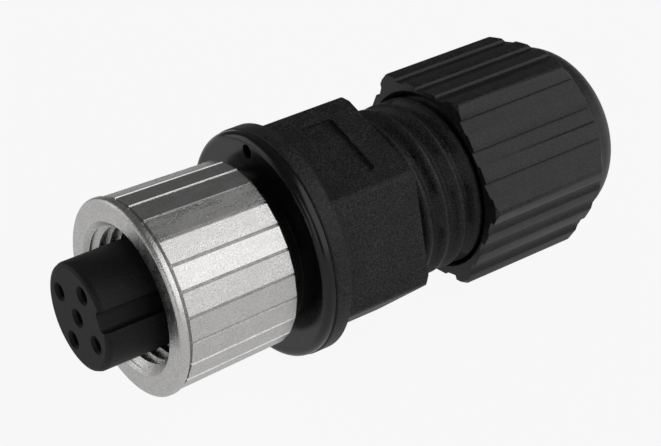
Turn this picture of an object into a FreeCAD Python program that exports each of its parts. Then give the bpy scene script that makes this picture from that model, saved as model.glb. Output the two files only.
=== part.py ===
import FreeCAD, Part
import math
import os

from FreeCAD import Vector

# A straight, field-wireable M12 female connector, five poles, with its gland nut loosened.
# Millimetres. X runs along the connector from the mating face to the cable end. The origin is on
# the axis, at the insert's front face. Angles are measured about +X, from +Y towards +Z. +Z is up,
# with one flat of the gland nut facing down.

# clearances
press_gap = 0.02
running_gap = 0.10
thread_gap = 0.12
end_gap = 0.20
seam_gap = 0.06
edge_break = 0.20
true_arc_length = 1.50

# contact insert
insert_radius = 4.40
insert_edge_rounding = 0.40
insert_front_length = 10.90
insert_seat_depth = 0.15
pole_circle_radius = 2.75
pole_start_angle = 28.5
keyway_angle = 163.5
keyway_width = 1.70
keyway_depth = 0.95
keyway_length = 8.0
keyway_floor_rounding = 0.42
pin_hole_radius = 0.62
pin_hole_mouth_radius = 0.80
pin_hole_mouth_depth = 0.28
insert_shoulder_radius = 5.95
insert_shoulder_length = 2.00
neck_radius = 4.95
mating_seal_thickness = 0.95
o_ring_sides = 8

# contacts and their screws
pin_radius = 0.50
contact_tip_depth = 0.90
contact_radius = 0.78
contact_bore_depth = 8.0
contact_slot_length = 6.40
contact_slot_width = 0.20
terminal_radius = 1.15
terminal_length = 7.4
wire_bore_radius = 0.75
wire_bore_depth = 4.80
screw_radius = 0.70
screw_inset = 2.10
screw_tip_offset = 0.35
screw_slot_width = 0.30
screw_slot_depth = 0.35

# coupling nut
nut_front_x = 4.15
nut_rim_radius = 8.05
nut_rim_length = 0.75
nut_rim_rounding = 0.35
nut_rim_rear_chamfer = 0.12
nut_groove_width = 0.22
nut_groove_depth = 0.20
nut_facet_radius_front = 7.92
nut_facet_radius_rear = 7.62
nut_facet_count = 24
nut_facet_step = 0.16
nut_facet_step_angle = 0.90
nut_facet_phase = 97.0
nut_thread_radius = 5.68
nut_thread_mouth_radius = 6.25
nut_thread_mouth_depth = 0.55
nut_thread_length = 5.60
nut_wall_behind_thread = 0.90
nut_inner_flange_length = 1.80

# flange collar
collar_hub_radius = 6.30
collar_hub_length = 0.62
collar_radius = 9.80
collar_front_rounding = 0.70
collar_disc_length = 0.80
boss_radius = 6.90
boss_length = 4.00
key_hole_radius = 0.60
key_hole_circle_radius = 8.45
key_hole_angle = 91.0
key_hole_depth = 0.60

# housing
housing_round_length = 1.70
housing_flats = 16.40
housing_flats_length = 8.22
housing_flat_angle = 114.0
housing_edge_rounding = 0.55
housing_rear_chamfer = 0.25
run_out_length = 1.45
run_out_sink = 0.25
housing_seal_thickness = 0.90
wire_space_radius = 6.00
wire_space_length = 3.90
seal_floor_thickness = 1.00
recess_inset = 2.69
recess_length = 3.00
recess_width = 6.15
recess_depth = 0.35
recess_corner = 0.35

# male gland thread on the housing
gland_neck_length = 9.00
gland_bore_radius = 5.35
gland_thread_radius = 7.25
gland_thread_pitch = 1.70
gland_thread_depth = 0.72
gland_thread_crest = 0.36
gland_thread_foot = 1.43
gland_thread_sink = 0.10
gland_relief_length = 0.95
gland_crest_offset = 2.20
gland_crest_angle = 142.0

# cable seal and clamping cage
cable_seal_length = 4.20
cable_seal_chamfer = 0.30
cable_hole_radius = 4.00
cage_ring_length = 5.65
cage_flange_radius = 6.80
cage_flange_thickness = 0.80
cage_wall = 1.00
cage_finger_length = 3.70
cage_finger_count = 8
cage_finger_slot = 0.70
cage_slot_inset = 0.30
cage_taper = 0.75
washer_thickness = 0.70

# gland nut
gland_thread_engaged = 2.30
gland_nut_length = 16.40
gland_nut_flats = 16.30
gland_flat_angle = 270.0
gland_rib_length = 11.10
gland_rib_fall = 1.60
gland_seat_depth = 9.32
gland_entry_radius = 4.70
gland_entry_length = 2.60
gland_entry_chamfer = 0.40
gland_mouth_chamfer = 0.30
gland_front_chamfer = 0.35
gland_dome_rounding = 4.10
gland_ribs_per_flat = 4
gland_rib_width = 1.30
gland_groove_depth = 0.36
# a groove's floor climbs across it, from a steep wall to a leaning one
gland_groove_floor_climb = 0.12
gland_groove_steep_wall = 0.10
gland_groove_leaning_wall = 0.24

AXIS = Vector(1, 0, 0)
ORIGIN = Vector(0, 0, 0)


def polar(x, radius, angle):
    """A point at a station x, a radius and an angle about the axis."""
    turn = math.radians(angle)
    return Vector(x, radius * math.cos(turn), radius * math.sin(turn))


def rounded_outline(corners):
    """Edges of a closed outline; a corner with a third value is rounded by that radius.

    A large rounding is a true arc and a small one is a pair of chords through its middle.
    """
    points = [Vector(c[0], c[1], 0) for c in corners]
    count = len(points)
    stops = []
    for i, corner in enumerate(corners):
        here = points[i]
        if len(corner) < 3:
            stops.append((here, None, here))
            continue
        back = (points[i - 1] - here).normalize()
        ahead = (points[(i + 1) % count] - here).normalize()
        half = back.getAngle(ahead) / 2
        reach = corner[2] / math.tan(half)
        bisector = (back + ahead).normalize()
        middle = here + bisector * (corner[2] / math.sin(half) - corner[2])
        stops.append((here + back * reach, middle, here + ahead * reach))
    edges = []
    for i, (start, middle, end) in enumerate(stops):
        if middle is not None and start.distanceToPoint(end) > true_arc_length:
            edges.append(Part.Arc(start, middle, end).toShape())
        elif middle is not None:
            edges.append(Part.LineSegment(start, middle).toShape())
            edges.append(Part.LineSegment(middle, end).toShape())
        following = stops[(i + 1) % count][0]
        if end.distanceToPoint(following) > 1e-6:
            edges.append(Part.LineSegment(end, following).toShape())
    return edges


def turned(corners):
    """A solid turned about the connector's axis from an outline of (x, radius) corners."""
    face = Part.Face(Part.Wire(rounded_outline(corners)))
    return face.revolve(ORIGIN, AXIS, 360)


def rod(radius, start, end, y=0.0, z=0.0):
    """A plain round rod along X."""
    return Part.makeCylinder(radius, end - start, Vector(start, y, z), AXIS)


def hexagon(flats, start, end, flat_angle):
    """A hexagonal bar along X whose flats face flat_angle and every 60 degrees from it."""
    corner_radius = flats / 2 / math.cos(math.radians(30))
    corners = [polar(start, corner_radius, flat_angle + 30 + 60 * i) for i in range(7)]
    return Part.Face(Part.makePolygon(corners)).extrude(Vector(end - start, 0, 0))


def turned_to(shape, angle):
    """A copy of a shape turned about the axis."""
    copy = shape.copy()
    copy.rotate(ORIGIN, AXIS, angle)
    return copy


def o_ring(x, inner_radius, thickness):
    """A rubber ring with its centre plane at x; its round section is drawn with flats."""
    corner = thickness / 2 / math.cos(math.pi / o_ring_sides)
    turns = [2 * math.pi * (k + 0.5) / o_ring_sides for k in range(o_ring_sides)]
    middle = inner_radius + thickness / 2
    return turned([(x + corner * math.sin(t), middle + corner * math.cos(t)) for t in turns])


# stations along the axis that several pieces share, from the mating face to the cable end
shoulder_front_x = insert_front_length
mating_seat_x = shoulder_front_x - mating_seal_thickness - running_gap
shoulder_rear_x = shoulder_front_x + insert_shoulder_length
nut_flange_front_x = shoulder_rear_x + end_gap
nut_rear_x = nut_flange_front_x + nut_inner_flange_length
hub_front_x = nut_rear_x + end_gap
collar_front_x = hub_front_x + collar_hub_length
collar_rear_x = collar_front_x + collar_disc_length
boss_end_x = collar_rear_x + boss_length
wire_space_start_x = boss_end_x + end_gap
wire_space_end_x = wire_space_start_x + wire_space_length
block_end_x = wire_space_end_x - end_gap
terminal_front_x = block_end_x - terminal_length
screw_x = block_end_x - screw_inset
housing_front_x = collar_rear_x + seam_gap
round_end_x = housing_front_x + housing_round_length
housing_rear_x = round_end_x + housing_flats_length
recess_front_x = round_end_x + recess_inset
seal_seat_x = wire_space_end_x + seal_floor_thickness
gland_neck_end_x = housing_rear_x + gland_neck_length
gland_crest_x = housing_rear_x + gland_crest_offset
gland_nut_front_x = gland_neck_end_x - gland_thread_engaged
gland_nut_end_x = gland_nut_front_x + gland_nut_length
gland_rib_end_x = gland_nut_front_x + gland_rib_length
gland_seat_x = gland_nut_front_x + gland_seat_depth
gland_entry_x = gland_nut_end_x - gland_entry_length
washer_rear_x = gland_seat_x - seam_gap
washer_x = washer_rear_x - washer_thickness
cage_flange_rear_x = washer_x - seam_gap
cage_flange_x = cage_flange_rear_x - cage_flange_thickness
cage_ring_x = cage_flange_x - cage_ring_length

# radii that follow from a mating piece
housing_thread_radius = boss_radius + thread_gap
gland_root_radius = gland_thread_radius - gland_thread_depth
gland_bore_in_nut = gland_thread_radius + thread_gap
cage_outer_radius = gland_bore_radius - running_gap
cage_inner_radius = cage_outer_radius - cage_wall

pole_places = [(0.0, 0.0)]
for pole in range(4):
    spot = polar(0, pole_circle_radius, pole_start_angle + 90 * pole)
    pole_places.append((spot.y, spot.z))

# the first screw runs to the centre contact between two poles, the others to their own pole
screw_angles = [pole_start_angle + 45]
screw_target_radii = [0.0]
for pole in range(4):
    screw_angles.append(pole_start_angle + 90 * pole)
    screw_target_radii.append(pole_circle_radius)


def female_insert():
    """Front moulding: mating cylinder with its keyway, five contact holes and the seal's seat."""
    body = turned([
        (0, 0),
        (0, insert_radius, insert_edge_rounding),
        (mating_seat_x, insert_radius),
        (mating_seat_x, insert_radius - insert_seat_depth),
        (shoulder_front_x, insert_radius - insert_seat_depth),
        (shoulder_front_x, 0),
    ])
    slot = Part.makeBox(keyway_length, insert_radius, keyway_width,
                        Vector(0, insert_radius - keyway_depth, -keyway_width / 2))
    slot = slot.makeFillet(keyway_floor_rounding, slot_floor_edges(slot))
    body = body.cut(turned_to(slot, keyway_angle))
    for place in pole_places:
        body = body.cut(contact_passage(*place))
    return body


def terminal_block():
    """Rear moulding: shoulder, neck and block, drilled for the terminals and their screws."""
    body = turned([
        (shoulder_front_x, 0),
        (shoulder_front_x, insert_shoulder_radius),
        (shoulder_rear_x, insert_shoulder_radius),
        (shoulder_rear_x, neck_radius),
        (block_end_x - edge_break, neck_radius),
        (block_end_x, neck_radius - edge_break),
        (block_end_x, 0),
    ])
    for place, angle, target in zip(pole_places, screw_angles, screw_target_radii):
        body = body.cut(contact_passage(*place))
        body = body.cut(screw_passage(angle, target, screw_radius + press_gap))
    return body


def slot_floor_edges(slot):
    """The two lengthwise edges at the keyway's floor."""
    floor = insert_radius - keyway_depth
    return [e for e in slot.Edges
            if e.BoundBox.XLength > keyway_length / 2 and abs(e.BoundBox.YMax - floor) < 1e-6]


def contact_passage(y, z):
    """The stepped hole that one contact fills, with its countersunk mouth at the front face."""
    mouth = turned([
        (0, 0),
        (0, pin_hole_mouth_radius),
        (pin_hole_mouth_depth, pin_hole_radius),
        (contact_tip_depth, pin_hole_radius),
        (contact_tip_depth, contact_radius + press_gap),
        (terminal_front_x, contact_radius + press_gap),
        (terminal_front_x, terminal_radius + press_gap),
        (block_end_x, terminal_radius + press_gap),
        (block_end_x, 0),
    ])
    mouth.translate(Vector(0, y, z))
    return mouth


def screw_passage(angle, target, radius):
    """A radial hole from outside the block down to the middle of a terminal."""
    start = polar(screw_x, target, angle)
    return Part.makeCylinder(radius, neck_radius + 1 - target, start, polar(0, 1, angle))


def contact(index):
    """A turned socket: slotted spring end at the front, drilled and tapped terminal at the rear."""
    bore_end_x = contact_tip_depth + contact_bore_depth
    body = turned([
        (contact_tip_depth, pin_radius),
        (contact_tip_depth, contact_radius),
        (terminal_front_x, contact_radius),
        (terminal_front_x, terminal_radius),
        (block_end_x, terminal_radius),
        (block_end_x, wire_bore_radius),
        (block_end_x - wire_bore_depth, wire_bore_radius),
        (block_end_x - wire_bore_depth, 0),
        (bore_end_x, 0),
        (bore_end_x, pin_radius),
    ])
    slot = Part.makeBox(contact_slot_length, contact_slot_width, terminal_radius * 2,
                        Vector(contact_tip_depth, -contact_slot_width / 2, -terminal_radius))
    body = body.cut(slot)
    body.translate(Vector(0, *pole_places[index]))
    return body.cut(screw_passage(screw_angles[index], screw_target_radii[index], screw_radius))


def terminal_screw(index):
    """A slotted grub screw that reaches from the block's surface into its terminal."""
    angle = screw_angles[index]
    tip = screw_target_radii[index] + screw_tip_offset
    length = neck_radius - edge_break - tip
    screw = Part.makeCylinder(screw_radius - press_gap, length)
    tip_edges = [e for e in screw.Edges if e.BoundBox.ZLength < 1e-6 and e.BoundBox.ZMin < 1e-6]
    screw = screw.makeChamfer(edge_break, tip_edges)
    slot = Part.makeBox(screw_radius * 2, screw_slot_width, screw_slot_depth,
                        Vector(-screw_radius, -screw_slot_width / 2, length - screw_slot_depth))
    screw = screw.cut(slot)
    # stand the screw along +Y, then turn it to its angle
    screw.rotate(ORIGIN, Vector(1, 0, 0), -90)
    screw.translate(Vector(screw_x, tip, 0))
    return turned_to(screw, angle)


def mating_seal():
    """O-ring against the shoulder, round the root of the mating cylinder."""
    return o_ring(shoulder_front_x - mating_seal_thickness / 2 - press_gap,
                  insert_radius - insert_seat_depth + press_gap, mating_seal_thickness)


def facet_ring(start, end):
    """Long saw-tooth facets: each one is flat and ends in a small step down to the next."""
    facet = 360 / nut_facet_count
    sections = []
    for x, radius in ((start, nut_facet_radius_front), (end, nut_facet_radius_rear)):
        corners = []
        for i in range(nut_facet_count):
            angle = nut_facet_phase + i * facet
            corners.append(polar(x, radius - nut_facet_step, angle))
            corners.append(polar(x, radius, angle + facet - nut_facet_step_angle))
        corners.append(corners[0])
        sections.append(Part.makePolygon(corners))
    return Part.makeLoft(sections, True, True)


def coupling_nut():
    """Threaded nut: plain rim, saw-tooth grip facets, thread bore and inward rear flange."""
    rim_end_x = nut_front_x + nut_rim_length
    facets_start_x = rim_end_x + nut_groove_width
    groove_radius = nut_facet_radius_front - nut_facet_step - nut_groove_depth
    rim = turned([
        (nut_front_x, 0),
        (nut_front_x, nut_rim_radius, nut_rim_rounding),
        (rim_end_x - nut_rim_rear_chamfer, nut_rim_radius),
        (rim_end_x, nut_rim_radius - nut_rim_rear_chamfer),
        (rim_end_x, groove_radius),
        (facets_start_x + nut_groove_width, groove_radius),
        (facets_start_x + nut_groove_width, 0),
    ])
    grip = facet_ring(facets_start_x, nut_rear_x)
    rear_break = turned([
        (nut_front_x, 0),
        (nut_front_x, nut_rim_radius + 1),
        (nut_rear_x - edge_break, nut_facet_radius_rear + edge_break),
        (nut_rear_x, nut_facet_radius_rear - edge_break),
        (nut_rear_x, 0),
    ])
    thread_end_x = nut_front_x + nut_thread_length
    chamber_radius = nut_facet_radius_rear - nut_facet_step - nut_wall_behind_thread
    bore = turned([
        (nut_front_x - 1, 0),
        (nut_front_x - 1, nut_thread_mouth_radius),
        (nut_front_x, nut_thread_mouth_radius),
        (nut_front_x + nut_thread_mouth_depth, nut_thread_radius),
        (thread_end_x, nut_thread_radius),
        (thread_end_x, chamber_radius),
        (nut_flange_front_x, chamber_radius),
        (nut_flange_front_x, neck_radius + running_gap),
        (nut_rear_x + 1, neck_radius + running_gap),
        (nut_rear_x + 1, 0),
    ])
    return rim.fuse(grip.common(rear_break)).cut(bore)


def flange_collar():
    """Glossy ring that traps the nut, with a threaded boss behind it for the housing."""
    body = turned([
        (hub_front_x, neck_radius + press_gap),
        (hub_front_x, collar_hub_radius),
        (collar_front_x, collar_hub_radius),
        (collar_front_x, collar_radius, collar_front_rounding),
        (collar_rear_x, collar_radius),
        (collar_rear_x, boss_radius),
        (boss_end_x - edge_break, boss_radius),
        (boss_end_x, boss_radius - edge_break),
        (boss_end_x, neck_radius + press_gap),
    ])
    spot = polar(collar_front_x, key_hole_circle_radius, key_hole_angle)
    return body.cut(rod(key_hole_radius, spot.x - 1, spot.x + key_hole_depth, spot.y, spot.z))


def housing_seal():
    """O-ring on the boss, in the housing's front counterbore."""
    return o_ring(collar_rear_x + housing_seal_thickness / 2 + press_gap,
                  boss_radius + press_gap, housing_seal_thickness)


def gland_thread():
    """The coarse rounded thread: a right-hand helical ridge on the root cylinder."""
    start_x = housing_rear_x + gland_relief_length - gland_thread_pitch
    turns_back = (gland_crest_x - start_x) / gland_thread_pitch
    length = gland_neck_end_x + gland_thread_pitch - start_x
    helix = Part.makeHelix(gland_thread_pitch, length, gland_root_radius, 0, False)
    ridge = Part.Wire(rounded_outline([
        (-gland_thread_sink, -gland_thread_foot / 2),
        (gland_thread_depth, -gland_thread_crest / 2),
        (gland_thread_depth, gland_thread_crest / 2),
        (-gland_thread_sink, gland_thread_foot / 2),
    ]))
    # the outline lies in XY and the helix runs up Z from the X axis, so stand the outline in XZ
    ridge.rotate(ORIGIN, Vector(1, 0, 0), 90)
    ridge.translate(Vector(gland_root_radius, 0, 0))
    sweep = Part.Wire(helix).makePipeShell([ridge], True, True)
    # lay the helix along X, then turn it so that its crest passes the marked station
    sweep.rotate(ORIGIN, Vector(0, 1, 0), 90)
    sweep.rotate(ORIGIN, AXIS, 270 + gland_crest_angle - 360 * turns_back)
    sweep.translate(Vector(start_x, 0, 0))
    span = rod(gland_thread_radius + 1, housing_rear_x + gland_relief_length / 2,
               gland_neck_end_x - edge_break)
    return sweep.common(span)


def housing():
    """Body: round front, cone run-out into six flats, recess, rear thread and its bores."""
    corner_radius = housing_flats / 2 / math.cos(math.radians(30))
    edge_radius = corner_radius - housing_edge_rounding * (1 / math.cos(math.radians(30)) - 1)
    front = turned([
        (housing_front_x, 0),
        (housing_front_x, collar_radius - edge_break / 2),
        (housing_front_x + edge_break / 2, collar_radius),
        (round_end_x, collar_radius),
        (round_end_x + run_out_length, housing_flats / 2 - run_out_sink),
        (round_end_x + run_out_length, 0),
    ])
    bar = hexagon(housing_flats, round_end_x, housing_rear_x, housing_flat_angle)
    long_edges = [e for e in bar.Edges if e.BoundBox.XLength > housing_flats_length / 2]
    bar = bar.makeFillet(housing_edge_rounding, long_edges)
    chamfer_radius = edge_radius - housing_rear_chamfer
    rear_break = turned([
        (round_end_x - 1, 0),
        (round_end_x - 1, corner_radius),
        (housing_rear_x - corner_radius + chamfer_radius, corner_radius),
        (housing_rear_x, chamfer_radius),
        (housing_rear_x, 0),
    ])
    tail = turned([
        (housing_rear_x - 1, 0),
        (housing_rear_x - 1, gland_root_radius),
        (gland_neck_end_x - edge_break, gland_root_radius),
        (gland_neck_end_x, gland_root_radius - edge_break),
        (gland_neck_end_x, 0),
    ])
    body = front.fuse(bar.common(rear_break)).fuse(tail).fuse(gland_thread())
    seal_room_radius = boss_radius + housing_seal_thickness + seam_gap
    seal_room_end_x = collar_rear_x + housing_seal_thickness + seam_gap
    bore = turned([
        (housing_front_x - 1, 0),
        (housing_front_x - 1, seal_room_radius),
        (seal_room_end_x, seal_room_radius),
        (seal_room_end_x, housing_thread_radius),
        (wire_space_start_x, housing_thread_radius),
        (wire_space_start_x, wire_space_radius),
        (wire_space_end_x, wire_space_radius),
        (wire_space_end_x, cable_hole_radius),
        (seal_seat_x, cable_hole_radius),
        (seal_seat_x, gland_bore_radius),
        (gland_neck_end_x + 1, gland_bore_radius),
        (gland_neck_end_x + 1, 0),
    ])
    return body.cut(bore).cut(recess())


def recess():
    """The shallow rounded pocket on the top flat, left bare."""
    flat = housing_flats / 2
    pocket = Part.makeBox(recess_length, recess_depth + 1, recess_width,
                          Vector(recess_front_x, flat - recess_depth, -recess_width / 2))
    upright = [e for e in pocket.Edges if e.BoundBox.YLength > recess_depth]
    pocket = pocket.makeFillet(recess_corner, upright)
    return turned_to(pocket, housing_flat_angle)


def cable_seal():
    """Rubber sleeve on the seal seat, loose until the gland nut is tightened."""
    start = seal_seat_x + seam_gap
    outer = gland_bore_radius - running_gap
    return turned([
        (start, cable_hole_radius),
        (start, outer - cable_seal_chamfer),
        (start + cable_seal_chamfer, outer),
        (start + cable_seal_length, outer),
        (start + cable_seal_length, cable_hole_radius + cable_seal_chamfer),
        (start + cable_seal_length - cable_seal_chamfer, cable_hole_radius),
    ])


def clamping_cage():
    """Pinch ring: a plain ring in the housing's bore, a flange, and a crown of tapered fingers."""
    finger_end_x = cage_flange_rear_x + cage_finger_length
    body = turned([
        (cage_ring_x, cage_inner_radius),
        (cage_ring_x, cage_outer_radius - edge_break),
        (cage_ring_x + edge_break, cage_outer_radius),
        (cage_flange_x, cage_outer_radius),
        (cage_flange_x, cage_flange_radius),
        (cage_flange_rear_x, cage_flange_radius),
        (cage_flange_rear_x, cage_outer_radius),
        (finger_end_x, cage_outer_radius - cage_taper),
        (finger_end_x, cage_inner_radius),
    ])
    slot = Part.makeBox(cage_finger_length, cage_outer_radius, cage_finger_slot,
                        Vector(cage_flange_rear_x + cage_slot_inset, 0, -cage_finger_slot / 2))
    for i in range(cage_finger_count):
        body = body.cut(turned_to(slot, i * 360 / cage_finger_count))
    return body


def thrust_washer():
    """Flat slip ring between the cage's flange and the gland nut's inner shoulder."""
    return turned([
        (washer_x, cage_outer_radius + running_gap),
        (washer_x, gland_bore_in_nut - running_gap),
        (washer_rear_x, gland_bore_in_nut - running_gap),
        (washer_rear_x, cage_outer_radius + running_gap),
    ])


def ribbed_hexagon(start, end):
    """A hexagonal bar whose flats carry flat ribs with shallow saw-tooth grooves between them."""
    flat_radius = gland_nut_flats / 2
    half_flat = flat_radius * math.tan(math.radians(30))
    grooves = gland_ribs_per_flat - 1
    groove_width = (2 * half_flat - gland_ribs_per_flat * gland_rib_width) / grooves
    groove = (
        (0, 0),
        (gland_groove_steep_wall, gland_groove_depth),
        (groove_width - gland_groove_leaning_wall, gland_groove_depth - gland_groove_floor_climb),
        (groove_width, 0),
    )
    corners = []
    for side in range(6):
        flat_angle = gland_flat_angle + 60 * side
        corners.append(polar(start, math.hypot(flat_radius, half_flat), flat_angle - 30))
        for k in range(grooves):
            groove_start = (k + 1) * gland_rib_width + k * groove_width - half_flat
            for across, fall in groove:
                out = flat_radius - fall
                along = groove_start + across
                angle = flat_angle + math.degrees(math.atan2(along, out))
                corners.append(polar(start, math.hypot(out, along), angle))
    corners.append(corners[0])
    return Part.Face(Part.makePolygon(corners)).extrude(Vector(end - start, 0, 0))


def gland_nut():
    """Hexagonal nut with ribbed flats, domed end, thread bore, inner shoulder and cone."""
    corner_radius = gland_nut_flats / 2 / math.cos(math.radians(30))
    dome_radius = gland_nut_flats / 2 - gland_groove_depth
    rib_fall_end_x = gland_rib_end_x + gland_rib_fall
    ribs = ribbed_hexagon(gland_nut_front_x, rib_fall_end_x)
    envelope = turned([
        (gland_nut_front_x, 0),
        (gland_nut_front_x, corner_radius - gland_front_chamfer),
        (gland_nut_front_x + gland_front_chamfer, corner_radius),
        (gland_rib_end_x, corner_radius),
        (rib_fall_end_x, dome_radius),
        (rib_fall_end_x, 0),
    ])
    dome = turned([
        (gland_rib_end_x - 1, 0),
        (gland_rib_end_x - 1, dome_radius),
        (gland_nut_end_x, dome_radius, gland_dome_rounding),
        (gland_nut_end_x, 0),
    ])
    bore = turned([
        (gland_nut_front_x - 1, 0),
        (gland_nut_front_x - 1, gland_bore_in_nut + gland_mouth_chamfer),
        (gland_nut_front_x, gland_bore_in_nut + gland_mouth_chamfer),
        (gland_nut_front_x + gland_mouth_chamfer, gland_bore_in_nut),
        (gland_seat_x, gland_bore_in_nut),
        (gland_seat_x, cage_outer_radius + running_gap),
        (gland_entry_x, gland_entry_radius),
        (gland_nut_end_x - gland_entry_chamfer, gland_entry_radius),
        (gland_nut_end_x, gland_entry_radius + gland_entry_chamfer),
        (gland_nut_end_x + 1, gland_entry_radius + gland_entry_chamfer),
        (gland_nut_end_x + 1, 0),
    ])
    return ribs.common(envelope).fuse(dome).cut(bore)


pieces = {
    "female_insert": female_insert(),
    "terminal_block": terminal_block(),
    "mating_seal": mating_seal(),
    "coupling_nut": coupling_nut(),
    "flange_collar": flange_collar(),
    "housing_seal": housing_seal(),
    "housing": housing(),
    "cable_seal": cable_seal(),
    "clamping_cage": clamping_cage(),
    "thrust_washer": thrust_washer(),
    "gland_nut": gland_nut(),
}
for index in range(len(pole_places)):
    pieces["contact_%d" % (index + 1)] = contact(index)
    pieces["terminal_screw_%d" % (index + 1)] = terminal_screw(index)

os.makedirs("parts", exist_ok=True)
for name, shape in pieces.items():
    shape = shape.removeSplitter()
    if len(shape.Solids) == 1:
        shape = shape.Solids[0]
    shape.exportStep("parts/%s.step" % name)
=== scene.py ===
import math

import bmesh
import bpy
from mathutils import Matrix, Vector


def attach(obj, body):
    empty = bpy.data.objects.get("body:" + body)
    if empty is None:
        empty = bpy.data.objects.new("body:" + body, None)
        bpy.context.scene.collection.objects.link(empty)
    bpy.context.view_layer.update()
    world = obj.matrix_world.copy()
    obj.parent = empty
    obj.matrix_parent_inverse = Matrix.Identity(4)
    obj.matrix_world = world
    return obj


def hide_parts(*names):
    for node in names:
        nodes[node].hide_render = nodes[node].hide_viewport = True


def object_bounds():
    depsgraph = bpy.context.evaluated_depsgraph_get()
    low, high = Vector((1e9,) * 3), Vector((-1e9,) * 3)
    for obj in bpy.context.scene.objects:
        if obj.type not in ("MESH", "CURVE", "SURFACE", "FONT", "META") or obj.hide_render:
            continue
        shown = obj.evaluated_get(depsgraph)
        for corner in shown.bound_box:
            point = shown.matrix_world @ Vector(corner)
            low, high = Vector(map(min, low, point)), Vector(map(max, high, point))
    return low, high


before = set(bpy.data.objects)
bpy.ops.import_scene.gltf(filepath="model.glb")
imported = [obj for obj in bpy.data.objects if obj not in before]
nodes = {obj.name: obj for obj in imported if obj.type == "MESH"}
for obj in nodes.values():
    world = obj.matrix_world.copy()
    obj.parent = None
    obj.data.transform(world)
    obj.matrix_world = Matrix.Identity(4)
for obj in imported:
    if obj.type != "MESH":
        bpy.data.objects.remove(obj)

cad_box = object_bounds()
scene = bpy.context.scene

# shapes are given in mm; X runs along the axis from the mating face to the cable end
MM = 0.001
# an outline that reaches the axis stops just short of it, so that no face has zero width
AXIS_RADIUS = 0.001


# ---------------------------------------------------------------- node helpers

class Graph:
    """A small wrapper that builds one material's node tree."""

    BEVEL_SAMPLES = 6

    def __init__(self, name):
        self.material = bpy.data.materials.new(name)
        self.material.use_nodes = True
        self.tree = self.material.node_tree
        self.tree.nodes.clear()
        self.output = self.tree.nodes.new("ShaderNodeOutputMaterial")
        self.place = self.tree.nodes.new("ShaderNodeTexCoord").outputs["Object"]

    def add(self, kind, **inputs):
        """A shader node of a kind; each keyword is an input's name, with _ for a space."""
        node = self.tree.nodes.new("ShaderNode" + kind)
        for key, value in inputs.items():
            self.put(node.inputs[key.replace("_", " ")], value)
        return node

    def put(self, socket, value):
        """Links another socket to an input, or sets the input's own value."""
        if isinstance(value, bpy.types.NodeSocket):
            self.tree.links.new(value, socket)
        else:
            socket.default_value = value

    def noise(self, size_mm, detail=2.0, roughness=0.5, stretch=None):
        """A noise value whose features are about size_mm across."""
        place = self.place
        if stretch:
            mapping = self.add("Mapping", Vector=place, Scale=stretch)
            place = mapping.outputs["Vector"]
        node = self.add("TexNoise", Vector=place, Scale=1 / (size_mm * MM), Detail=detail,
                        Roughness=roughness)
        return node.outputs["Fac"]

    def ramp(self, value, low, high, to_low=0.0, to_high=1.0):
        """A value whose span from low to high is mapped to another span and clamped there."""
        node = self.add("MapRange", Value=value, From_Min=low, From_Max=high,
                        To_Min=to_low, To_Max=to_high)
        return node.outputs["Result"]

    def math(self, operation, a, b):
        """The result of an operation on two values."""
        node = self.add("Math")
        node.operation = operation
        self.put(node.inputs[0], a)
        self.put(node.inputs[1], b)
        return node.outputs["Value"]

    def blend(self, factor, a, b):
        """A colour between two colours."""
        node = self.add("Mix")
        node.data_type = "RGBA"
        self.put(node.inputs["Factor"], factor)
        self.put(node.inputs[6], a)
        self.put(node.inputs[7], b)
        return node.outputs[2]

    def bump(self, height, distance_mm, normal=None):
        """Normals tilted by a relief that is distance_mm high where the height is 1."""
        node = self.add("Bump", Strength=1.0, Distance=distance_mm * MM, Height=height)
        if normal is not None:
            self.put(node.inputs["Normal"], normal)
        return node.outputs["Normal"]

    def soft_edges(self, radius_mm):
        """Normals that roll over the edges, as a moulded or plated edge does."""
        node = self.add("Bevel", Radius=radius_mm * MM)
        node.samples = self.BEVEL_SAMPLES
        return node.outputs["Normal"]

    def surface(self, **inputs):
        """The material, finished with one principled surface."""
        return self.finished(self.add("BsdfPrincipled", **inputs).outputs["BSDF"])

    def finished(self, shader):
        """The material, finished with a shader."""
        self.put(self.output.inputs["Surface"], shader)
        return self.material


def grey(value, warmth=0.0):
    """A grey as a colour, a little warmer where asked."""
    return (value * (1 + warmth), value, value * (1 - warmth), 1.0)


# ---------------------------------------------------------------- materials

def matt_plastic(name, colour, light_colour, roughness, grain_mm, relief_mm, specular=0.40):
    """Moulded plastic with a fine spark-eroded texture."""
    g = Graph(name)
    fine = g.noise(grain_mm, 3.0, 0.65)
    broad = g.noise(grain_mm * 14, 2.0)
    speck = g.ramp(fine, 0.42, 0.66)
    tone = g.math("MULTIPLY", speck, g.ramp(broad, 0.3, 0.7, 0.6, 1.0))
    base = g.blend(tone, grey(colour), grey(light_colour))
    rough = g.ramp(fine, 0.3, 0.7, roughness - 0.06, roughness + 0.06)
    return g.surface(Base_Color=base, Roughness=rough, Specular_IOR_Level=specular,
                     Normal=g.bump(fine, relief_mm, normal=g.soft_edges(0.05)))


def nickel():
    """Satin nickel plate over a fine cast grain, with faint long smears."""
    g = Graph("nickel_plate")
    fine = g.noise(0.10, 2.0, 0.6)
    broad = g.noise(1.6, 3.0, 0.55)
    smear = g.noise(0.7, 2.0, 0.5, stretch=(0.25, 1.0, 1.0))
    tone = g.math("MULTIPLY", g.ramp(broad, 0.3, 0.7, 0.7, 1.0), g.ramp(fine, 0.35, 0.6))
    base = g.blend(tone, grey(0.56, 0.01), grey(0.80, 0.012))
    rough = g.ramp(smear, 0.3, 0.7, 0.22, 0.34)
    height = g.math("ADD", fine, g.math("MULTIPLY", broad, 0.4))
    return g.surface(Base_Color=base, Metallic=1.0, Roughness=rough,
                     Normal=g.bump(height, 0.026, normal=g.soft_edges(0.015)))


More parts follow.
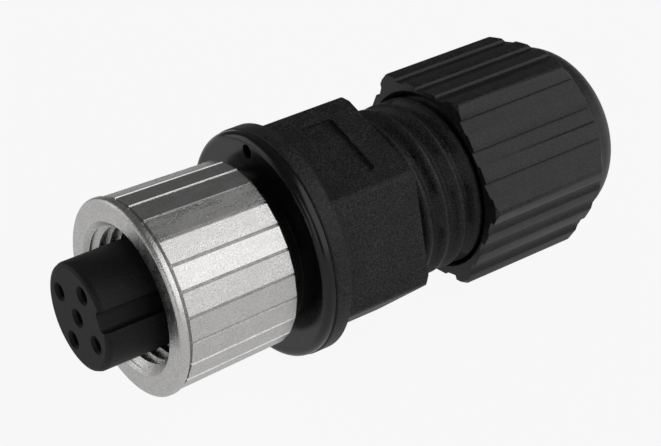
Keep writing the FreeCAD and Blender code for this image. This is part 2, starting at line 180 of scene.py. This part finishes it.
def glossy_black():
    """Polished black moulding, slightly wavy, with a little dust on it."""
    g = Graph("glossy_black")
    wave = g.noise(2.2, 1.0)
    dust = g.noise(0.22, 3.0, 0.7)
    base = g.blend(g.ramp(dust, 0.60, 0.75), grey(0.004), grey(0.014))
    rough = g.ramp(dust, 0.35, 0.75, 0.16, 0.30)
    return g.surface(Base_Color=base, Roughness=rough, Specular_IOR_Level=0.45,
                     Normal=g.bump(wave, 0.010, normal=g.soft_edges(0.06)))


def rubber():
    """The dull black rubber of the seals."""
    g = Graph("rubber")
    fine = g.noise(0.12, 2.0)
    base = g.blend(fine, grey(0.018), grey(0.030))
    return g.surface(Base_Color=base, Roughness=0.75, Specular_IOR_Level=0.35,
                     Normal=g.bump(fine, 0.01))


def plated(name, colour, light, roughness):
    """Plated metal with fine turning marks round the axis."""
    g = Graph(name)
    turned = g.noise(0.25, 2.0, 0.5, stretch=(4.0, 1.0, 1.0))
    base = g.blend(g.ramp(turned, 0.3, 0.7), colour, light)
    rough = g.ramp(turned, 0.3, 0.7, roughness - 0.05, roughness + 0.08)
    return g.surface(Base_Color=base, Metallic=1.0, Roughness=rough,
                     Normal=g.bump(turned, 0.006))


finish = {
    "nut": nickel(),
    "insert": matt_plastic("insert_moulding", 0.006, 0.024, 0.55, 0.11, 0.012, 0.24),
    "housing": matt_plastic("housing_moulding", 0.004, 0.060, 0.46, 0.13, 0.026, 0.24),
    "gland": matt_plastic("gland_moulding", 0.004, 0.044, 0.40, 0.13, 0.014, 0.36),
    "cage": matt_plastic("cage_moulding", 0.020, 0.034, 0.42, 0.16, 0.006),
    "washer": matt_plastic("washer_moulding", 0.42, 0.50, 0.45, 0.20, 0.005),
    "collar": glossy_black(),
    "rubber": rubber(),
    "gold": plated("gold_plate", (0.83, 0.60, 0.24, 1.0), (0.90, 0.68, 0.32, 1.0), 0.24),
    "zinc": plated("zinc_plate", grey(0.55), grey(0.66), 0.30),
}

# the finish of each solid; the numbered contacts and screws share one each
finish_of = {
    "female_insert": "insert",
    "terminal_block": "insert",
    "coupling_nut": "nut",
    "flange_collar": "collar",
    "housing": "housing",
    "clamping_cage": "cage",
    "thrust_washer": "washer",
    "gland_nut": "gland",
    "mating_seal": "rubber",
    "housing_seal": "rubber",
    "cable_seal": "rubber",
    "contact": "gold",
    "terminal_screw": "zinc",
}


def dress(obj, material):
    """Gives an object one material."""
    obj.data.materials.clear()
    obj.data.materials.append(material)


for name, obj in nodes.items():
    dress(obj, finish[finish_of[name.rstrip("_0123456789")]])


# ---------------------------------------------------------------- shape helpers

def linked(name, bm):
    """A new object in the scene from a bmesh, which is freed."""
    bmesh.ops.recalc_face_normals(bm, faces=bm.faces)
    mesh = bpy.data.meshes.new(name)
    bm.to_mesh(mesh)
    bm.free()
    obj = bpy.data.objects.new(name, mesh)
    scene.collection.objects.link(obj)
    return obj


def around(x, radius, angle):
    """The point at a station and a radius, turned by an angle in radians from +Y to +Z."""
    return Vector((x, radius * math.cos(angle), radius * math.sin(angle))) * MM


def bridge(bm, ring, following):
    """Faces between two closed rings of vertices."""
    count = len(ring)
    for k in range(count):
        j = (k + 1) % count
        bm.faces.new((ring[k], ring[j], following[j], following[k]))


def fan(bm, apex, loop):
    """Triangles from a vertex to a closed loop of vertices."""
    for a, b in zip(loop, loop[1:] + loop[:1]):
        bm.faces.new((apex, a, b))


def lathe(name, profile, steps=128):
    """A solid of revolution about X from a closed outline of (x, radius) points."""
    bm = bmesh.new()
    rings = []
    for x, radius in profile:
        rings.append([bm.verts.new(around(x, radius, 2 * math.pi * k / steps))
                      for k in range(steps)])
    for ring, following in zip(rings, rings[1:] + rings[:1]):
        bridge(bm, ring, following)
    return linked(name, bm)


def arc(x, radius, size, start, end, steps=8):
    """Points on an arc in the (x, radius) plane, angles in degrees from +X to outward."""
    turns = [math.radians(start + (end - start) * k / steps) for k in range(steps + 1)]
    return [(x + size * math.cos(t), radius + size * math.sin(t)) for t in turns]


def combine(piece, operation, other):
    """Joins, cuts or trims a piece with another body, which is used up."""
    modifier = piece.modifiers.new(operation.lower(), "BOOLEAN")
    modifier.operation = operation
    modifier.solver = "EXACT"
    modifier.object = other
    bpy.context.view_layer.update()
    mesh = bpy.data.meshes.new_from_object(
        piece.evaluated_get(bpy.context.evaluated_depsgraph_get()))
    piece.modifiers.clear()
    piece.data = mesh
    bpy.data.objects.remove(other)


SHARP_FROM_DEGREES = 30
COPLANAR_WITHIN_DEGREES = 0.4
FACE_AREA_WEIGHT = 100


def crisp(piece):
    """Flat faces stay flat and round ones stay smooth in the shading of a cut piece."""
    bm = bmesh.new()
    bm.from_mesh(piece.data)
    bmesh.ops.dissolve_limit(bm, angle_limit=math.radians(COPLANAR_WITHIN_DEGREES),
                             verts=bm.verts, edges=bm.edges)
    bm.to_mesh(piece.data)
    bm.free()
    for polygon in piece.data.polygons:
        polygon.use_smooth = True
    piece.data.set_sharp_from_angle(angle=math.radians(SHARP_FROM_DEGREES))
    weighted = piece.modifiers.new("weighted", "WEIGHTED_NORMAL")
    weighted.keep_sharp = True
    weighted.weight = FACE_AREA_WEIGHT


def trimmed(node_name, name, *envelopes):
    """A copy of a solid, kept inside each envelope, that takes the solid's place."""
    piece = bpy.data.objects.new(name, nodes[node_name].data.copy())
    scene.collection.objects.link(piece)
    for envelope in envelopes:
        combine(piece, "INTERSECT", envelope)
    crisp(piece)
    dress(piece, nodes[node_name].data.materials[0])
    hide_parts(node_name)
    return piece


# ---------------------------------------------------------------- coupling nut with its thread

NUT_FRONT = 4.15
NUT_REAR = 14.90
NUT_REAR_CHAMFER_LENGTH = 0.20
NUT_REAR_CHAMFER_DEPTH = 0.15

RIM_RADIUS = 8.05
RIM_REAR = 4.90
RIM_ROUNDING = 0.35
RIM_CHAMFER = 0.12
RIM_NECK_RADIUS = 7.52
RIM_NECK_OVERLAP = 0.10

GRIP_START = 5.12
GRIP_FRONT_RADIUS = 7.92
GRIP_REAR_RADIUS = 7.64
GRIP_FLATS = 24
GRIP_FIRST_GROOVE = 97.0
GRIP_GROOVE_DEPTH = 0.24
GRIP_GROOVE_HALF_ANGLE = 0.95

BORE_MOUTH_RADIUS = 6.25
BORE_MOUTH_END = 4.90
BORE_RADIUS = 5.50
CHAMBER_START = 9.75
CHAMBER_END = 13.10
CHAMBER_RADIUS = 6.56
REAR_BORE_RADIUS = 5.05
BORE_CUTTER_START = 3
BORE_CUTTER_END = 16

# the screw's core is a little thinner than the bore, so that the two never coincide
THREAD_PITCH = 1.0
THREAD_MAJOR = 6.0
THREAD_MINOR = 5.46
SCREW_START = 2.6
SCREW_TURNS = 6
SCREW_PHASE_DEGREES = 200
SCREW_TIP = 1.0

# where in each pitch the core, the rising flank and the crest end
CORE_END = 0.125
FLANK_END = 0.47
CREST_END = 0.655


def screw(steps=96):
    """A solid screw along X whose flanks lie on the thread; its rows follow the helix."""
    profile = ((0.0, THREAD_MINOR), (CORE_END, THREAD_MINOR), (FLANK_END, THREAD_MAJOR),
               (CREST_END, THREAD_MAJOR))
    per_turn = len(profile)
    phase = math.radians(SCREW_PHASE_DEGREES)
    rows = [(turn + share, radius) for turn in range(SCREW_TURNS) for share, radius in profile]
    bm = bmesh.new()
    grid = []
    for at, radius in rows:
        grid.append([bm.verts.new(around(SCREW_START + THREAD_PITCH * (at + k / steps), radius,
                                         phase + 2 * math.pi * k / steps))
                     for k in range(steps)])
    for row, following in zip(grid, grid[1:]):
        for k in range(steps - 1):
            bm.faces.new((row[k], row[k + 1], following[k + 1], following[k]))
    # the seam joins a row's end to the start of the row that lies a full turn further along
    for i in range(len(grid) - 1 - per_turn):
        bm.faces.new((grid[i][-1], grid[i + per_turn][0], grid[i + per_turn + 1][0],
                      grid[i + 1][-1]))
    front_step = [row[0] for row in grid[per_turn:0:-1]]
    rear_step = [row[-1] for row in grid[-2:-2 - per_turn:-1]]
    front = bm.verts.new(Vector((SCREW_START - SCREW_TIP, 0, 0)) * MM)
    rear = bm.verts.new(
        Vector((SCREW_START + THREAD_PITCH * (SCREW_TURNS + 1) + SCREW_TIP, 0, 0)) * MM)
    fan(bm, front, front_step + grid[0])
    fan(bm, rear, grid[-1] + rear_step)
    return linked("screw", bm)


def grip():
    """Long flats round the nut with a narrow V-groove between each two."""
    groove = ((-GRIP_GROOVE_HALF_ANGLE, 0), (0, GRIP_GROOVE_DEPTH), (GRIP_GROOVE_HALF_ANGLE, 0))
    stations = ((GRIP_START, GRIP_FRONT_RADIUS),
                (NUT_REAR - NUT_REAR_CHAMFER_LENGTH, GRIP_REAR_RADIUS),
                (NUT_REAR, GRIP_REAR_RADIUS - NUT_REAR_CHAMFER_DEPTH))
    bm = bmesh.new()
    rings = []
    for x, radius in stations:
        ring = []
        for i in range(GRIP_FLATS):
            middle = GRIP_FIRST_GROOVE + i * 360 / GRIP_FLATS
            for turn, fall in groove:
                ring.append(bm.verts.new(around(x, radius - fall, math.radians(middle + turn))))
        rings.append(ring)
    for ring, following in zip(rings, rings[1:]):
        bridge(bm, ring, following)
    bm.faces.new(rings[0])
    bm.faces.new(rings[-1][::-1])
    return linked("grip", bm)


def threaded_nut():
    """Plain rim, grooved grip, thread bore, chamber and inward rear flange."""
    rim = [
        (NUT_FRONT, AXIS_RADIUS),
        *arc(NUT_FRONT + RIM_ROUNDING, RIM_RADIUS - RIM_ROUNDING, RIM_ROUNDING, 180, 90),
        (RIM_REAR - RIM_CHAMFER, RIM_RADIUS),
        (RIM_REAR, RIM_RADIUS - RIM_CHAMFER),
        (RIM_REAR, RIM_NECK_RADIUS),
        (GRIP_START + RIM_NECK_OVERLAP, RIM_NECK_RADIUS),
        (GRIP_START + RIM_NECK_OVERLAP, AXIS_RADIUS),
    ]
    bore = [
        (BORE_CUTTER_START, AXIS_RADIUS),
        (BORE_CUTTER_START, BORE_MOUTH_RADIUS),
        (NUT_FRONT, BORE_MOUTH_RADIUS),
        (BORE_MOUTH_END, BORE_RADIUS),
        (CHAMBER_START, BORE_RADIUS),
        (CHAMBER_START, CHAMBER_RADIUS),
        (CHAMBER_END, CHAMBER_RADIUS),
        (CHAMBER_END, REAR_BORE_RADIUS),
        (BORE_CUTTER_END, REAR_BORE_RADIUS),
        (BORE_CUTTER_END, AXIS_RADIUS),
    ]
    piece = lathe("coupling_nut_threaded", rim)
    combine(piece, "UNION", grip())
    combine(piece, "DIFFERENCE", lathe("bore", bore))
    combine(piece, "DIFFERENCE", screw())
    crisp(piece)
    dress(piece, finish["nut"])
    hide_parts("coupling_nut")
    return piece


nut = threaded_nut()
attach(nut, "nut")


# ---------------------------------------------------------------- flange

FLANGE_RADIUS = 9.40
FLANGE_FRONT = 16.25
FLANGE_REAR = 17.10
FLANGE_ROUNDING = 0.60
HUB_FRONT = 15.10
HUB_RADIUS = 6.30
HUB_BORE = 4.97
BOSS_RADIUS = 6.90
BOSS_END = 20.52

KEY_HOLE_RADIUS = 0.60
KEY_HOLE_FROM_AXIS = 8.30
KEY_HOLE_ANGLE_DEGREES = 91
KEY_HOLE_STEPS = 24
# the cutter of the key hole starts in front of the flange and ends behind its front face
KEY_HOLE_LEAD = 1.2
KEY_HOLE_LENGTH = 2


def flange():
    """The glossy flange with its hub, its boss and the small round key hole near its edge."""
    profile = [
        (HUB_FRONT, HUB_BORE),
        (HUB_FRONT, HUB_RADIUS),
        (FLANGE_FRONT, HUB_RADIUS),
        *arc(FLANGE_FRONT + FLANGE_ROUNDING, FLANGE_RADIUS - FLANGE_ROUNDING,
             FLANGE_ROUNDING, 180, 90),
        (FLANGE_REAR, FLANGE_RADIUS),
        (FLANGE_REAR, BOSS_RADIUS),
        (BOSS_END, BOSS_RADIUS),
        (BOSS_END, HUB_BORE),
    ]
    key_hole = [
        (0, AXIS_RADIUS),
        (0, KEY_HOLE_RADIUS),
        (KEY_HOLE_LENGTH, KEY_HOLE_RADIUS),
        (KEY_HOLE_LENGTH, AXIS_RADIUS),
    ]
    piece = lathe("flange_collar_dressed", profile)
    hole = lathe("key_hole", key_hole, KEY_HOLE_STEPS)
    hole.matrix_world = Matrix.Translation(around(FLANGE_FRONT - KEY_HOLE_LEAD,
                                                  KEY_HOLE_FROM_AXIS,
                                                  math.radians(KEY_HOLE_ANGLE_DEGREES)))
    combine(piece, "DIFFERENCE", hole)
    crisp(piece)
    dress(piece, finish["collar"])
    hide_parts("flange_collar")
    return piece


collar = flange()
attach(collar, "carrier")


# ---------------------------------------------------------------- housing

# a narrow seam parts the housing from the flange, and the housing stands a little proud of it
SEAM = 0.06
HOUSING_FRONT = FLANGE_REAR + SEAM
HOUSING_FRONT_RADIUS = FLANGE_RADIUS - 0.02
HOUSING_RADIUS = FLANGE_RADIUS + 0.08
HOUSING_CHAMFER_LENGTH = 0.10
HOUSING_ENVELOPE_END = 40

shell = trimmed("housing", "housing_dressed", lathe("housing_envelope", [
    (HOUSING_FRONT, AXIS_RADIUS),
    (HOUSING_FRONT, HOUSING_FRONT_RADIUS),
    (HOUSING_FRONT + HOUSING_CHAMFER_LENGTH, HOUSING_RADIUS),
    (HOUSING_ENVELOPE_END, HOUSING_RADIUS),
    (HOUSING_ENVELOPE_END, AXIS_RADIUS),
]))
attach(shell, "shell")


# ---------------------------------------------------------------- gland nut

GLAND_ACROSS_FLATS = 16.32
GLAND_CORNER_ROUNDING = 0.70
GLAND_CORNER_STEPS = 8
GLAND_FIRST_FLAT_DEGREES = 270
GLAND_ENVELOPE_START = 32
GLAND_ENVELOPE_END = 52
GLAND_ENVELOPE_RADIUS = 9.6
RIBS_END = 44.12
DOME_ARC_X = 45.05
DOME_ARC_RADIUS = 3.69
DOME_ARC_SIZE = 4.10
DOME_ARC_FROM_DEGREES = 78
DOME_ARC_TO_DEGREES = 8
DOME_ARC_STEPS = 14
DOME_END = 49.12


def rounded_hexagon():
    """A hexagonal bar along X with rounded long edges."""
    rounding = GLAND_CORNER_ROUNDING
    centre = (GLAND_ACROSS_FLATS / 2 - rounding) / math.cos(math.radians(30))
    outline = []
    for side in range(6):
        corner = math.radians(GLAND_FIRST_FLAT_DEGREES + 60 * side + 30)
        for k in range(GLAND_CORNER_STEPS + 1):
            turn = corner + math.radians(-30 + 60 * k / GLAND_CORNER_STEPS)
            outline.append((centre * math.cos(corner) + rounding * math.cos(turn),
                            centre * math.sin(corner) + rounding * math.sin(turn)))
    bm = bmesh.new()
    front, rear = [[bm.verts.new(Vector((x, y, z)) * MM) for y, z in outline]
                   for x in (GLAND_ENVELOPE_START, GLAND_ENVELOPE_END)]
    bm.faces.new(front)
    bm.faces.new(rear[::-1])
    for k in range(len(outline)):
        j = (k + 1) % len(outline)
        bm.faces.new((front[k], rear[k], rear[j], front[j]))
    return linked("hexagon", bm)


clamp_nut = trimmed("gland_nut", "gland_nut_dressed", rounded_hexagon(), lathe("dome", [
    (GLAND_ENVELOPE_START, AXIS_RADIUS),
    (GLAND_ENVELOPE_START, GLAND_ENVELOPE_RADIUS),
    (RIBS_END, GLAND_ENVELOPE_RADIUS),
    *arc(DOME_ARC_X, DOME_ARC_RADIUS, DOME_ARC_SIZE, DOME_ARC_FROM_DEGREES,
         DOME_ARC_TO_DEGREES, DOME_ARC_STEPS),
    (DOME_END, AXIS_RADIUS),
]))
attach(clamp_nut, "gland")


# ---------------------------------------------------------------- camera

IMAGE_WIDTH_PX = 661
FOCAL_LENGTH_PX = 2002
SENSOR_WIDTH = 36.0

right = Vector((0.8064226, -0.58558478, -0.08229857))
up = Vector((0.3240178, 0.3211489, 0.88987407))
back = Vector((-0.49466661, -0.74428076, 0.44872162))
place = Vector((-56.498402, -120.220793, 71.968742)) * MM

camera = bpy.data.cameras.new("camera")
camera.sensor_fit = "HORIZONTAL"
camera.sensor_width = SENSOR_WIDTH
camera.lens = SENSOR_WIDTH * FOCAL_LENGTH_PX / IMAGE_WIDTH_PX
camera.clip_start = 0.005
camera.clip_end = 20.0
camera_object = bpy.data.objects.new("camera", camera)
matrix = Matrix((right, up, back)).transposed().to_4x4()
matrix.translation = place
camera_object.matrix_world = matrix
scene.collection.objects.link(camera_object)
scene.camera = camera_object


# ---------------------------------------------------------------- floor

FLOOR_GAP_M = 0.00002
FLOOR_HALF_WIDTH_M = 3.0
WHITE_SEEN = 0.92
WHITE_REFLECTED = 0.50


def floor_material():
    """A pale floor, nearly white to the camera and half as white in a reflection."""
    g = Graph("floor")
    rays = g.add("LightPath").outputs
    reflected = g.math("MAXIMUM", rays["Is Glossy Ray"], rays["Is Transmission Ray"])
    share = g.math("MAXIMUM", g.math("MULTIPLY", rays["Is Camera Ray"], WHITE_SEEN),
                   g.math("MULTIPLY", reflected, WHITE_REFLECTED))
    diffuse = g.add("BsdfDiffuse", Color=g.blend(g.noise(40.0), grey(0.44), grey(0.46)))
    glow = g.add("Emission", Color=grey(1.0), Strength=1.0)
    mix = g.add("MixShader")
    g.put(mix.inputs[0], share)
    g.put(mix.inputs[1], diffuse.outputs["BSDF"])
    g.put(mix.inputs[2], glow.outputs["Emission"])
    return g.finished(mix.outputs["Shader"])


low = cad_box[0][2] - FLOOR_GAP_M
half = FLOOR_HALF_WIDTH_M
floor_mesh = bpy.data.meshes.new("floor")
floor_mesh.from_pydata([(-half, -half, low), (half, -half, low), (half, half, low),
                        (-half, half, low)], [], [(0, 1, 2, 3)])
floor = bpy.data.objects.new("floor", floor_mesh)
scene.collection.objects.link(floor)
dress(floor, floor_material())


# ---------------------------------------------------------------- light

MIDDLE = Vector((0.022, 0.0, 0.0))
SOFTBOX_DISTANCE_M = 0.60
ROOM_STRENGTH = 0.10
ROOM_STRENGTH_SEEN = 1.0


def softbox(name, direction, width, height, radiance):
    """A softbox that lies in a direction from the object; its power follows from its radiance."""
    lamp = bpy.data.lights.new(name, "AREA")
    lamp.shape = "RECTANGLE"
    lamp.size = width
    lamp.size_y = height
    lamp.energy = math.pi * width * height * radiance
    obj = bpy.data.objects.new(name, lamp)
    obj.location = MIDDLE + Vector(direction).normalized() * SOFTBOX_DISTANCE_M
    obj.rotation_euler = (MIDDLE - obj.location).to_track_quat("-Z", "Y").to_euler()
    scene.collection.objects.link(obj)


softbox("key", (0.49, -0.70, 0.515), 1.10, 0.70, 1.15)
softbox("left", (-0.85, -0.45, 0.30), 0.35, 0.35, 0.9)
softbox("rear", (-0.55, 0.75, 0.35), 0.45, 0.35, 0.9)

# the room is dim, but the camera sees it white
world = bpy.data.worlds.new("studio")
world.use_nodes = True
scene.world = world
tree = world.node_tree
background = tree.nodes["Background"]
rays = tree.nodes.new("ShaderNodeLightPath")
strength = tree.nodes.new("ShaderNodeMapRange")
strength.inputs["To Min"].default_value = ROOM_STRENGTH
strength.inputs["To Max"].default_value = ROOM_STRENGTH_SEEN
tree.links.new(rays.outputs["Is Camera Ray"], strength.inputs["Value"])
tree.links.new(strength.outputs["Result"], background.inputs["Strength"])
background.inputs["Color"].default_value = grey(1.0)

scene.view_settings.view_transform = "Standard"
